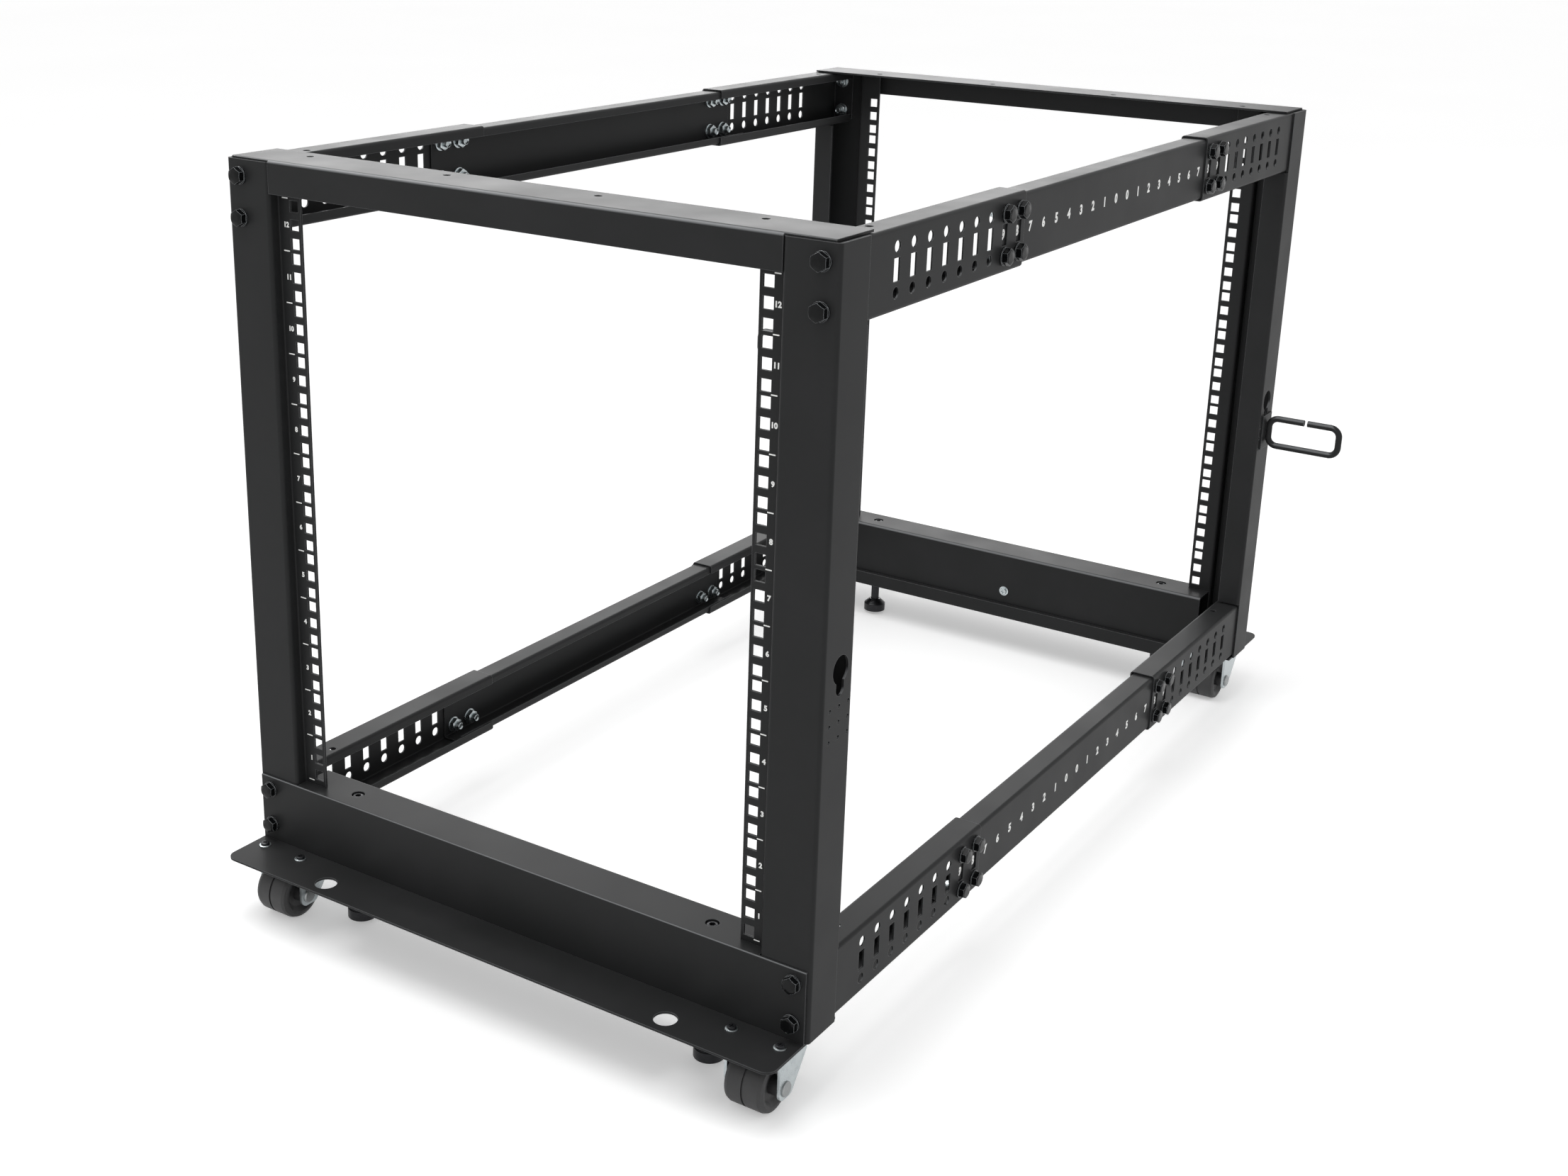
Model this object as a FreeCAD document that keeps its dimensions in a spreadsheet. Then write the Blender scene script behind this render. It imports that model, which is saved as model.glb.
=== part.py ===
"""Open-frame rack for 19-inch equipment: four folded posts, telescoping side rails, swivel casters.

The frame is X to the right, Y to the back and Z up, with the origin on the floor under the middle of
the rack. Lengths are millimetres.
"""
import FreeCAD
import Part
import Sketcher
import os
from math import sqrt
from types import SimpleNamespace

doc = FreeCAD.newDocument("open_frame_rack")
sheet = doc.addObject("Spreadsheet::Sheet", "Sizes")


class Size:
    """A length together with the sheet formula that gives it."""

    def __init__(self, value, formula):
        self.value = value
        self.formula = formula

    def __add__(self, other):
        return Size(self.value + value_of(other), f"({self.formula} + {formula_of(other)})")

    def __radd__(self, other):
        return self + other

    def __sub__(self, other):
        return Size(self.value - value_of(other), f"({self.formula} - {formula_of(other)})")

    def __rsub__(self, other):
        return -self + other

    def __mul__(self, other):
        return Size(self.value * value_of(other), f"({self.formula} * {formula_of(other)})")

    def __rmul__(self, other):
        return self * other

    def __truediv__(self, other):
        return Size(self.value / value_of(other), f"({self.formula} / {formula_of(other)})")

    def __neg__(self):
        return self * -1


def value_of(size):
    return size.value if isinstance(size, Size) else size


def formula_of(size):
    return size.formula if isinstance(size, Size) else f"({size!r})"


sizes = {
    # Rack standard: unit height, hole offsets inside a unit, hole side, column spacing and clear opening
    "unit_height": 44.45,
    "unit_count": 12,
    "hole_low": 6.35,
    "hole_pitch": 15.875,
    "hole_side": 9.5,
    "column_half": 232.55,
    "opening_half": 225,
    # Overall frame: mounting depth between the rack flanges, half width, and heights above the floor
    "mount_depth": 985,
    "width_half": 297,
    "units_bottom": 131,
    "headroom": 31.6,
    "post_foot": 63,
    # Folded posts
    "post_sheet": 2,
    "post_bend": 1.2,
    "face_half": 250,
    "flange_step": 11,
    "post_depth": 44,
    "post_lip": 25,
    "lip_gap": 2,
    "bolt_edge": 14.6,
    "bolt_spread": 35.4,
    "bolt_hole": 9,
    "keyhole_height": 372,
    "keyhole_inset": 25,
    "keyhole_head": 23,
    "keyhole_slot": 12,
    "keyhole_length": 15,
    "vent_drop": 42,
    "vent_hole": 3.4,
    "vent_pitch_y": 13.5,
    "vent_pitch_z": 12.7,
    # Top crossbars
    "crossbar_face": 28,
    "crossbar_depth": 53,
    "crossbar_end": 5,
    "crossbar_setback": 1.5,
    "crossbar_hole": 6.5,
    "crossbar_hole_pitch": 150,
    "crossbar_hole_count": 4,
    "crossbar_hole_shift": 13,
    "crossbar_hole_inset": 38,
    # Base channels and base plates
    "base_end": 3,
    "base_top_drop": 4,
    "base_flange": 43,
    "base_gap": 0.5,
    "foot_reach": 62,
    "foot_inner": 36,
    "foot_sheet": 2,
    "foot_corner": 10,
    "foot_lip": 16.5,
    "foot_lip_end": 72,
    "anchor_hole": 20,
    "anchor_end": 109,
    "anchor_reach": 45,
    # Telescoping side rails
    "rail_sheet": 1.5,
    "rail_bend": 1.5,
    "rail_height": 62,
    "rail_width": 27,
    "rail_lip": 9.5,
    "tab_relief": 5,
    "tie_hole": 6.5,
    "tie_reach": 62,
    "tie_inset": 18,
    "rail_gap": 0.5,
    "rail_top_gap": 0.5,
    "rail_foot_gap": 3,
    "bracket_reach": 287,
    "column_first": 73.4,
    "column_pitch": 25.4,
    "column_count": 9,
    "column_hole": 9,
    "column_slot": 17.5,
    "column_row": 17.1,
    "middle_length": 508,
    # Swivel casters
    "caster_end": 36,
    "caster_reach": 6,
    "caster_trail": 15,
    "caster_plate_width": 60,
    "caster_plate_depth": 52,
    "caster_sheet": 2.5,
    "caster_corner": 6,
    "race_radius": 21,
    "race_height": 2.5,
    "swivel_gap": 0.3,
    "king_radius": 5,
    "king_head": 2,
    "king_head_radius": 7.5,
    "wheel_radius": 24,
    "wheel_half": 18,
    "wheel_round": 4,
    "wheel_dish": 4,
    "wheel_rim": 6,
    "groove_half": 1,
    "groove_depth": 1,
    "hub_radius": 8,
    "hub_half": 22.5,
    "fork_half": 26,
    "fork_back": 16,
    "fork_boss": 9,
    "axle_radius": 4,
    "axle_head": 6.5,
    "axle_head_height": 2,
    "axle_chamfer": 1,
    "running_gap": 0.1,
    # Levelling feet
    "foot_pad": 13.5,
    "foot_pad_height": 9,
    "foot_cone": 6,
    "foot_clearance": 4,
    "stud_radius": 5,
    "stud_collar": 2,
    "stud_top": 95,
    "stud_end": 101,
    "stud_inset": 8,
    "nut_radius": 9,
    "nut_height": 8,
    "access_hole": 12,
    # Cable rings on the rear posts
    "ring_reach": 87.5,
    "ring_height": 38.5,
    "ring_wire": 3.5,
    "ring_corner": 10,
    "ring_gap": 4,
    "ring_gap_at": 46,
    "ring_lift": 6.5,
    "ring_plate_height": 39,
    "ring_plate_depth": 28,
    "ring_plate_sheet": 2,
    "ring_weld": 0.5,
}

for row, (alias, value) in enumerate(sizes.items(), start=1):
    sheet.set(f"A{row}", alias)
    sheet.set(f"B{row}", str(value))
    sheet.setAlias(f"B{row}", alias)

s = SimpleNamespace(**{alias: Size(value, f"Sizes.{alias}") for alias, value in sizes.items()})
doc.recompute()

# Heights, depths and places along the width that follow from the driving dimensions
mount_half = s.mount_depth / 2
rack_top = s.units_bottom + s.unit_height * s.unit_count + s.headroom
post_top = rack_top - s.post_sheet
base_top = s.units_bottom - s.base_top_drop
post_middle = s.post_depth / 2 - s.flange_step
rail_mid_upper = post_top - s.rail_top_gap - s.rail_height / 2
rail_mid_lower = s.post_foot + s.rail_foot_gap + s.rail_height / 2
rail_face = s.width_half - s.post_sheet
plate_under = s.post_foot - s.foot_sheet
race_under = plate_under - s.caster_sheet - s.race_height
fork_top = race_under - s.swivel_gap
middle_sheet_x = rail_face - s.rail_sheet
bolt_column = s.width_half - s.bolt_edge
crossbar_half = s.width_half - s.crossbar_end
base_half = s.width_half - s.base_end
foot_lip_half = base_half - s.foot_lip_end
anchor_half = base_half - s.anchor_end
caster_half = base_half - s.caster_end
stud_half = base_half - s.stud_end
vent_height = s.keyhole_height - s.vent_drop
ring_middle = vent_height + s.ring_lift

sub_parts = []


def new_body(name, place):
    """Start a sub-part whose own origin stands at place."""
    body = doc.addObject("PartDesign::Body", name)
    body.Label = name
    for axis, size in zip("xyz", place):
        body.setExpression(f"Placement.Base.{axis}", formula_of(size))
    sub_parts.append(body)
    return body


def sketch_on(body, plane, lift=0):
    """A sketch on one of the body's own origin planes, lifted along the plane's normal."""
    sketch = body.newObject("Sketcher::SketchObject", f"{body.Name}_outline")
    support = next(feature for feature in body.Origin.OriginFeatures if feature.Role == plane)
    sketch.AttachmentSupport = (support, [""])
    sketch.MapMode = "FlatFace"
    sketch.setExpression("AttachmentOffset.Base.z", formula_of(lift))
    return sketch


def constrain(sketch, kind, where, size):
    """Hold one measure of the sketch to a formula of the sheet."""
    index = sketch.addConstraint(Sketcher.Constraint(kind, *where, value_of(size)))
    sketch.setExpression(f"Constraints[{index}]", formula_of(size))


def hold_point(sketch, curve, end, point):
    """Hold one end of a curve, or a circle's centre, at a point given by two sizes."""
    constrain(sketch, "DistanceX", (-1, 1, curve, end), point[0])
    constrain(sketch, "DistanceY", (-1, 1, curve, end), point[1])


def vector(point):
    return FreeCAD.Vector(value_of(point[0]), value_of(point[1]), 0)


def polygon(sketch, corners):
    """A closed outline through corners, each corner held by two sizes."""
    ends = corners[1:] + corners[:1]
    lines = [sketch.addGeometry(Part.LineSegment(vector(a), vector(b))) for a, b in zip(corners, ends)]
    for line, corner in zip(lines, corners):
        hold_point(sketch, line, 1, corner)
    for line, following in zip(lines, lines[1:] + lines[:1]):
        sketch.addConstraint(Sketcher.Constraint("Coincident", line, 2, following, 1))


def rectangle(sketch, low, high):
    polygon(sketch, [low, (high[0], low[1]), high, (low[0], high[1])])


def circle(sketch, centre, radius):
    normal = FreeCAD.Vector(0, 0, 1)
    curve = sketch.addGeometry(Part.Circle(vector(centre), normal, value_of(radius)))
    hold_point(sketch, curve, 3, centre)
    constrain(sketch, "Radius", (curve,), radius)


def pad(body, sketch, length, reverse=False, middle=False):
    feature = body.newObject("PartDesign::Pad", f"{body.Name}_pad")
    feature.Profile = sketch
    feature.setExpression("Length", formula_of(length))
    feature.Reversed = reverse
    feature.Midplane = middle
    return feature


def pocket(body, sketch, depth=None, reverse=False):
    """Cut the sketch right through the body, both ways from its plane, or only to a depth below it."""
    feature = body.newObject("PartDesign::Pocket", f"{body.Name}_pocket")
    feature.Profile = sketch
    if depth is None:
        feature.Type = "ThroughAll"
        feature.Midplane = True
    else:
        feature.setExpression("Length", formula_of(depth))
        feature.Reversed = reverse
    return feature


def repeat(body, feature, axis, length, count, reverse=False):
    pattern = body.newObject("PartDesign::LinearPattern", f"{body.Name}_pattern")
    pattern.Originals = [feature]
    pattern.Direction = (feature.Profile[0], [axis])
    pattern.Reversed = reverse
    pattern.setExpression("Length", formula_of(length))
    pattern.setExpression("Occurrences", formula_of(count))
    body.Tip = pattern
    return pattern


def revolve(body, sketch, axis):
    feature = body.newObject("PartDesign::Revolution", f"{body.Name}_turned")
    feature.Profile = sketch
    feature.ReferenceAxis = (sketch, [axis])
    feature.Angle = 360
    return feature


def round_edges(body, direction, places, radius):
    """Round the straight edges that run along direction through the given places."""
    doc.recompute()
    base = body.Tip
    along = "xyz".index(direction)
    across = [index for index in range(3) if index != along]
    names = []
    for number, edge in enumerate(base.Shape.Edges, start=1):
        points = [vertex.Point for vertex in edge.Vertexes]
        if len(points) != 2 or edge.Curve.TypeId != "Part::GeomLine":
            continue
        if any(abs(points[0][index] - points[1][index]) > 1e-4 for index in across):
            continue
        for place in places:
            offsets = [points[0][index] - value_of(size) for index, size in zip(across, place)]
            if all(abs(offset) < 1e-4 for offset in offsets):
                names.append(f"Edge{number}")
    fillet = body.newObject("PartDesign::Fillet", f"{body.Name}_bend")
    fillet.Base = (base, names)
    fillet.setExpression("Radius", formula_of(radius))
    return fillet


def make_post(name, side, end):
    """A folded post: inner lip, side wall, face, return wall and the recessed rack flange."""
    body = new_body(name, (0, end * mount_half, s.post_foot))
    wall = s.post_sheet
    step = s.flange_step
    inner_edge = step - s.post_depth

    def at(across, out):
        return (side * across, end * out)

    outline = sketch_on(body, "XY_Plane")
    polygon(outline, [
        at(s.opening_half, 0 * step),
        at(s.face_half, 0 * step),
        at(s.face_half, step),
        at(s.width_half, step),
        at(s.width_half, inner_edge),
        at(s.width_half - s.post_lip, inner_edge),
        at(s.width_half - s.post_lip, inner_edge + wall),
        at(s.width_half - wall, inner_edge + wall),
        at(s.width_half - wall, step - wall),
        at(s.face_half + wall, step - wall),
        at(s.face_half + wall, -wall),
        at(s.opening_half, -wall),
    ])
    pad(body, outline, post_top - s.post_foot)
    outer_bends = [
        at(s.face_half + wall, -wall),
        at(s.face_half, step),
        at(s.width_half, step),
        at(s.width_half, inner_edge),
    ]
    inner_bends = [
        at(s.face_half, 0 * step),
        at(s.face_half + wall, step - wall),
        at(s.width_half - wall, step - wall),
        at(s.width_half - wall, inner_edge + wall),
    ]
    round_edges(body, "z", outer_bends, s.post_bend + wall)
    round_edges(body, "z", inner_bends, s.post_bend)

    # The lip stops short of the side rails, which pass through it into the post
    notch_edge = end * (inner_edge - wall)
    notch_root = end * (inner_edge + wall + s.post_bend)
    lip_low = rail_mid_lower + s.rail_height / 2 + s.lip_gap - s.post_foot
    lip_high = rail_mid_upper - s.rail_height / 2 - s.lip_gap - s.post_foot
    notches = sketch_on(body, "YZ_Plane")
    rectangle(notches, (notch_edge, -wall), (notch_root, lip_low))
    rectangle(notches, (notch_edge, lip_high), (notch_root, post_top - s.post_foot + wall))
    pocket(body, notches)

    foot_cut = sketch_on(body, "XZ_Plane")
    rectangle(
        foot_cut,
        (side * (s.opening_half - wall), -wall),
        (side * s.face_half, base_top - s.post_foot),
    )
    pocket(body, foot_cut)

    # The keyhole and the vent holes go through the side wall alone
    outer_side = side * s.width_half
    inward = side < 0
    keyhole_y = end * (step - s.keyhole_inset)
    keyhole_z = s.keyhole_height - s.post_foot
    head = sketch_on(body, "YZ_Plane", outer_side)
    circle(head, (keyhole_y, keyhole_z), s.keyhole_head / 2)
    pocket(body, head, 2 * wall, inward)
    slot_end = keyhole_z - s.keyhole_length
    slot = sketch_on(body, "YZ_Plane", outer_side)
    half_slot = s.keyhole_slot / 2
    rectangle(slot, (keyhole_y - half_slot, slot_end), (keyhole_y + half_slot, keyhole_z))
    pocket(body, slot, 2 * wall, inward)
    foot = sketch_on(body, "YZ_Plane", outer_side)
    circle(foot, (keyhole_y, slot_end), half_slot)
    pocket(body, foot, 2 * wall, inward)
    cluster = sketch_on(body, "YZ_Plane", outer_side)
    for column in (-1, 0, 1):
        for row in (-1, 0, 1):
            hole_y = keyhole_y + column * s.vent_pitch_y
            hole_z = vent_height - s.post_foot + row * s.vent_pitch_z
            circle(cluster, (hole_y, hole_z), s.vent_hole / 2)
    pocket(body, cluster, 2 * wall, inward)

    bolts = sketch_on(body, "XZ_Plane")
    for rail_middle in (rail_mid_upper, rail_mid_lower):
        for row in (-1, 1):
            bolt_z = rail_middle - s.post_foot + row * s.bolt_spread / 2
            circle(bolts, (side * bolt_column, bolt_z), s.bolt_hole / 2)
    pocket(body, bolts)

    first_hole = s.units_bottom - s.post_foot + s.hole_low
    holes = sketch_on(body, "XZ_Plane")
    for row in range(3):
        low = first_hole + row * s.hole_pitch - s.hole_side / 2
        rectangle(
            holes,
            (side * s.column_half - s.hole_side / 2, low),
            (side * s.column_half + s.hole_side / 2, low + s.hole_side),
        )
    first_unit = pocket(body, holes)
    repeat(body, first_unit, "V_Axis", (s.unit_count - 1) * s.unit_height, s.unit_count)


def make_crossbar(name, end):
    """A folded top bar: the face stands between the posts, the top plate runs over their ends."""
    body = new_body(name, (0, end * (mount_half + s.flange_step), rack_top))
    wall = s.post_sheet
    plan = sketch_on(body, "XY_Plane")
    face_line = 0 * wall
    set_back = -end * s.crossbar_setback
    back = -end * s.crossbar_depth
    polygon(plan, [
        (-s.face_half, face_line),
        (s.face_half, face_line),
        (s.face_half, set_back),
        (crossbar_half, set_back),
        (crossbar_half, back),
        (-crossbar_half, back),
        (-crossbar_half, set_back),
        (-s.face_half, set_back),
    ])
    pad(body, plan, wall, reverse=True)
    face = sketch_on(body, "XZ_Plane")
    rectangle(face, (-s.face_half, -s.crossbar_face), (s.face_half, 0 * wall))
    pad(body, face, wall, reverse=end < 0)
    round_edges(body, "x", [(face_line, 0 * wall)], s.post_bend + wall)
    # The row is a little off the middle, and the rear bar is the front one turned round
    row_length = (s.crossbar_hole_count - 1) * s.crossbar_hole_pitch
    first_hole = (end * s.crossbar_hole_shift - row_length / 2, -end * s.crossbar_hole_inset)
    holes = sketch_on(body, "XY_Plane")
    circle(holes, first_hole, s.crossbar_hole / 2)
    first = pocket(body, holes)
    repeat(body, first, "H_Axis", row_length, s.crossbar_hole_count)


def make_base_channel(name, end):
    """The base bar: a web over the post faces, folded in between the posts and down to the plate."""
    body = new_body(name, (0, end * (mount_half + s.flange_step), base_top))
    wall = s.post_sheet
    web = sketch_on(body, "XZ_Plane")
    rectangle(web, (-base_half, s.post_foot - base_top), (base_half, 0 * wall))
    pad(body, web, wall, reverse=end > 0)
    flange = sketch_on(body, "XY_Plane")
    flange_half = s.face_half - s.base_gap
    inner_y = end * (wall - s.base_flange)
    rectangle(flange, (-flange_half, end * wall), (flange_half, inner_y))
    pad(body, flange, wall, reverse=True)
    inner_web = sketch_on(body, "XZ_Plane", -inner_y)
    rectangle(inner_web, (-flange_half, s.post_foot - base_top), (flange_half, 0 * wall))
    pad(body, inner_web, wall, reverse=end > 0)
    round_edges(body, "x", [(end * wall, 0 * wall)], s.post_bend)
    round_edges(body, "x", [(inner_y, 0 * wall)], s.post_bend + wall)
    round_edges(body, "x", [(inner_y + end * wall, -wall)], s.post_bend)
    bolts = sketch_on(body, "XZ_Plane")
    for side in (-1, 1):
        for row in (-1, 1):
            bolt_z = rail_mid_lower - base_top + row * s.bolt_spread / 2
            circle(bolts, (side * bolt_column, bolt_z), s.bolt_hole / 2)
    pocket(body, bolts)
    holes = sketch_on(body, "XY_Plane")
    hole_y = -end * (s.flange_step + s.stud_inset)
    circle(holes, (-stud_half, hole_y), s.access_hole / 2)
    circle(holes, (stud_half, hole_y), s.access_hole / 2)
    pocket(body, holes)


def make_base_plate(name, end):
    """The foot plate under the posts, with anchor holes, weld nuts and a stiffening lip."""
    body = new_body(name, (0, end * mount_half, s.post_foot))
    plan = sketch_on(body, "XY_Plane")
    outer = end * s.foot_reach
    inner = -end * s.foot_inner
    rectangle(plan, (-base_half, inner), (base_half, outer))
    pad(body, plan, s.foot_sheet, reverse=True)
    lip = sketch_on(body, "XY_Plane")
    rectangle(lip, (-foot_lip_half, inner), (foot_lip_half, inner + end * s.foot_sheet))
    pad(body, lip, s.foot_lip, reverse=True)
    round_edges(body, "z", [(-base_half, outer), (base_half, outer)], s.foot_corner)
    stud_y = -end * s.stud_inset
    nuts = sketch_on(body, "XY_Plane")
    for side in (-1, 1):
        hexagon(nuts, (side * stud_half, stud_y), s.nut_radius)
    pad(body, nuts, s.nut_height)
    holes = sketch_on(body, "XY_Plane")
    for side in (-1, 1):
        circle(holes, (side * stud_half, stud_y), s.stud_radius + s.running_gap)
        circle(holes, (side * anchor_half, end * s.anchor_reach), s.anchor_hole / 2)
    pocket(body, holes)


def hexagon(sketch, centre, radius):
    """A regular hexagon with two corners on the line along the first axis."""
    half_height = radius * (sqrt(3) / 2)
    offsets = [
        (radius, 0 * radius),
        (radius / 2, half_height),
        (-radius / 2, half_height),
        (-radius, 0 * radius),
        (-radius / 2, -half_height),
        (radius / 2, -half_height),
    ]
    polygon(sketch, [(centre[0] + across, centre[1] + up) for across, up in offsets])


def lipped_channel(body, side, width, half_height, lip, lift=0):
    """A channel open to the inside of the rack, with its web at the body's own origin."""
    wall = s.rail_sheet
    zero = 0 * wall

    def at(inward, up):
        return (-side * inward, up)

    outline = sketch_on(body, "XZ_Plane", lift)
    polygon(outline, [
        at(zero, -half_height),
        at(zero, half_height),
        at(width, half_height),
        at(width, half_height - lip),
        at(width - wall, half_height - lip),
        at(width - wall, half_height - wall),
        at(wall, half_height - wall),
        at(wall, wall - half_height),
        at(width - wall, wall - half_height),
        at(width - wall, lip - half_height),
        at(width, lip - half_height),
        at(width, -half_height),
    ])
    outer_bends = [at(across, up) for across in (zero, width) for up in (half_height, -half_height)]
    inner_height = half_height - wall
    inner_sides = (wall, width - wall)
    inner_bends = [at(across, up) for across in inner_sides for up in (inner_height, -inner_height)]
    return outline, outer_bends, inner_bends


def bend_channel(body, outer_bends, inner_bends):
    round_edges(body, "y", outer_bends, s.rail_bend + s.rail_sheet)
    round_edges(body, "y", inner_bends, s.rail_bend)


def make_bracket(name, side, end, middle_z):
    """The end piece of a side rail: a punched lipped channel with a tab bolted behind the post face."""
    start = s.flange_step - s.post_sheet
    body = new_body(name, (side * rail_face, end * (mount_half + start), middle_z))
    half_height = s.rail_height / 2
    relief = s.tab_relief
    section = (side, s.rail_width, half_height, s.rail_lip, end * relief)
    outline, outer_bends, inner_bends = lipped_channel(body, *section)
    pad(body, outline, s.bracket_reach + start - relief, reverse=end < 0)
    bend_channel(body, outer_bends, inner_bends)
    wall = s.rail_sheet
    zero = 0 * wall
    tab_half = half_height - s.rail_bend - wall
    neck = sketch_on(body, "XZ_Plane")
    rectangle(neck, (zero, -tab_half), (-side * wall, tab_half))
    pad(body, neck, relief, reverse=end < 0)
    tab = sketch_on(body, "XZ_Plane")
    rectangle(tab, (zero, -tab_half), (-side * s.rail_width, tab_half))
    pad(body, tab, wall, reverse=end < 0)
    round_edges(body, "z", [(zero, zero)], s.rail_bend + wall)
    round_edges(body, "z", [(-side * wall, -end * wall)], s.rail_bend)
    bolts = sketch_on(body, "XZ_Plane")
    for row in (-1, 1):
        circle(bolts, (side * (bolt_column - rail_face), row * s.bolt_spread / 2), s.bolt_hole / 2)
    pocket(body, bolts)
    tie_hole = sketch_on(body, "XY_Plane")
    circle(tie_hole, (-side * s.tie_inset, -end * (start + s.tie_reach)), s.tie_hole / 2)
    pocket(body, tie_hole)
    column = sketch_on(body, "YZ_Plane")
    first_y = -end * (start + s.column_first)
    circle(column, (first_y, s.column_row), s.column_hole / 2)
    circle(column, (first_y, -s.column_row), s.column_hole / 2)
    rectangle(
        column,
        (first_y - s.column_hole / 2, -s.column_slot / 2),
        (first_y + s.column_hole / 2, s.column_slot / 2),
    )
    punched = pocket(body, column, 2 * wall, side < 0)
    repeat(body, punched, "H_Axis", (s.column_count - 1) * s.column_pitch, s.column_count, reverse=end > 0)


def make_middle_rail(name, side, middle_z):
    """The plain channel that slides inside both brackets and carries the depth scale."""
    body = new_body(name, (side * middle_sheet_x, 0, middle_z))
    half_height = s.rail_height / 2 - s.rail_sheet - s.rail_gap
    width = s.rail_width - 2 * s.rail_sheet - s.rail_gap
    section = (side, width, half_height, s.rail_lip - s.rail_sheet)
    outline, outer_bends, inner_bends = lipped_channel(body, *section)
    pad(body, outline, s.middle_length, middle=True)
    bend_channel(body, outer_bends, inner_bends)
    last_column = mount_half - s.column_first - (s.column_count - 1) * s.column_pitch
    holes = sketch_on(body, "YZ_Plane")
    for end in (-1, 1):
        for column in range(2):
            for row in (-1, 1):
                centre = (end * (last_column + column * s.column_pitch), row * s.column_row)
                circle(holes, centre, s.column_hole / 2)
    pocket(body, holes, 2 * s.rail_sheet, side < 0)


def make_levelling_foot(name, side, end):
    """A threaded stud with a round foot pad, turned as one profile."""
    body = new_body(name, (side * stud_half, end * (mount_half - s.stud_inset), s.foot_clearance))
    profile = sketch_on(body, "XZ_Plane")
    axis = 0 * s.stud_radius
    polygon(profile, [
        (axis, axis),
        (s.foot_pad, axis),
        (s.foot_pad, s.foot_pad_height),
        (s.stud_radius + s.stud_collar, s.foot_pad_height + s.foot_cone),
        (s.stud_radius, s.foot_pad_height + s.foot_cone),
        (s.stud_radius, s.stud_top - s.foot_clearance),
        (axis, s.stud_top - s.foot_clearance),
    ])
    revolve(body, profile, "V_Axis")


def make_caster_plate(name, side, end):
    """The bolted top plate of a caster, with its ball race and the king pin it swivels on."""
    body = new_body(name, (side * caster_half, end * (mount_half + s.caster_reach), plate_under))
    half_width = s.caster_plate_width / 2
    half_depth = s.caster_plate_depth / 2
    plan = sketch_on(body, "XY_Plane")
    rectangle(plan, (-half_width, -half_depth), (half_width, half_depth))
    pad(body, plan, s.caster_sheet, reverse=True)
    widths = (-half_width, half_width)
    depths = (-half_depth, half_depth)
    corners = [(across, along) for across in widths for along in depths]
    round_edges(body, "z", corners, s.caster_corner)
    turned = sketch_on(body, "XZ_Plane")
    axis = 0 * s.king_radius
    race_low = -s.caster_sheet - s.race_height
    crown_low = race_low - 2 * s.swivel_gap - s.caster_sheet
    polygon(turned, [
        (axis, -s.caster_sheet),
        (s.race_radius, -s.caster_sheet),
        (s.race_radius - s.race_height, race_low),
        (s.king_radius, race_low),
        (s.king_radius, crown_low),
        (s.king_head_radius, crown_low),
        (s.king_head_radius, crown_low - s.king_head),
        (axis, crown_low - s.king_head),
    ])
    revolve(body, turned, "V_Axis")


def make_caster_fork(name, side, end):
    """The pressed fork: a crown under the ball race and two tapered cheeks that carry the axle."""
    body = new_body(name, (side * caster_half, end * (mount_half + s.caster_reach), fork_top))
    crown = sketch_on(body, "XY_Plane")
    front = -s.caster_trail - s.fork_boss
    rectangle(crown, (-s.fork_half, front), (s.fork_half, s.fork_back))
    pad(body, crown, s.caster_sheet, reverse=True)
    for cheek in (-1, 1):
        outline = sketch_on(body, "YZ_Plane", cheek * s.fork_half)
        axle_down = s.wheel_radius - fork_top
        polygon(outline, [
            (front, 0 * s.fork_back),
            (s.fork_back, 0 * s.fork_back),
            (s.fork_back, axle_down / 3),
            (s.fork_boss - s.caster_trail, axle_down - s.fork_boss),
            (front, axle_down - s.fork_boss),
        ])
        pad(body, outline, s.caster_sheet, reverse=cheek > 0)
    low = s.wheel_radius - fork_top - s.fork_boss
    round_edges(body, "x", [(front, low), (s.fork_boss - s.caster_trail, low)], s.fork_boss * 0.75)
    pin_hole = sketch_on(body, "XY_Plane")
    circle(pin_hole, (0 * s.fork_half, 0 * s.fork_half), s.king_radius + s.running_gap)
    pocket(body, pin_hole)
    axle_hole = sketch_on(body, "YZ_Plane")
    circle(axle_hole, (-s.caster_trail, s.wheel_radius - fork_top), s.axle_radius + s.running_gap)
    pocket(body, axle_hole)


def make_caster_axle(name, side, end):
    """The riveted axle through both fork cheeks."""
    body = new_body(name, wheel_centre(side, end))
    profile = sketch_on(body, "XY_Plane")
    axis = 0 * s.axle_radius
    tip = s.fork_half + s.axle_head_height
    polygon(profile, [
        (-tip, axis),
        (-tip, s.axle_head - s.axle_chamfer),
        (s.axle_chamfer - tip, s.axle_head),
        (-s.fork_half, s.axle_head),
        (-s.fork_half, s.axle_radius),
        (s.fork_half, s.axle_radius),
        (s.fork_half, s.axle_head),
        (tip - s.axle_chamfer, s.axle_head),
        (tip, s.axle_head - s.axle_chamfer),
        (tip, axis),
    ])
    revolve(body, profile, "H_Axis")


def wheel_centre(side, end):
    return (side * caster_half, end * (mount_half + s.caster_reach) - s.caster_trail, s.wheel_radius)


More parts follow.
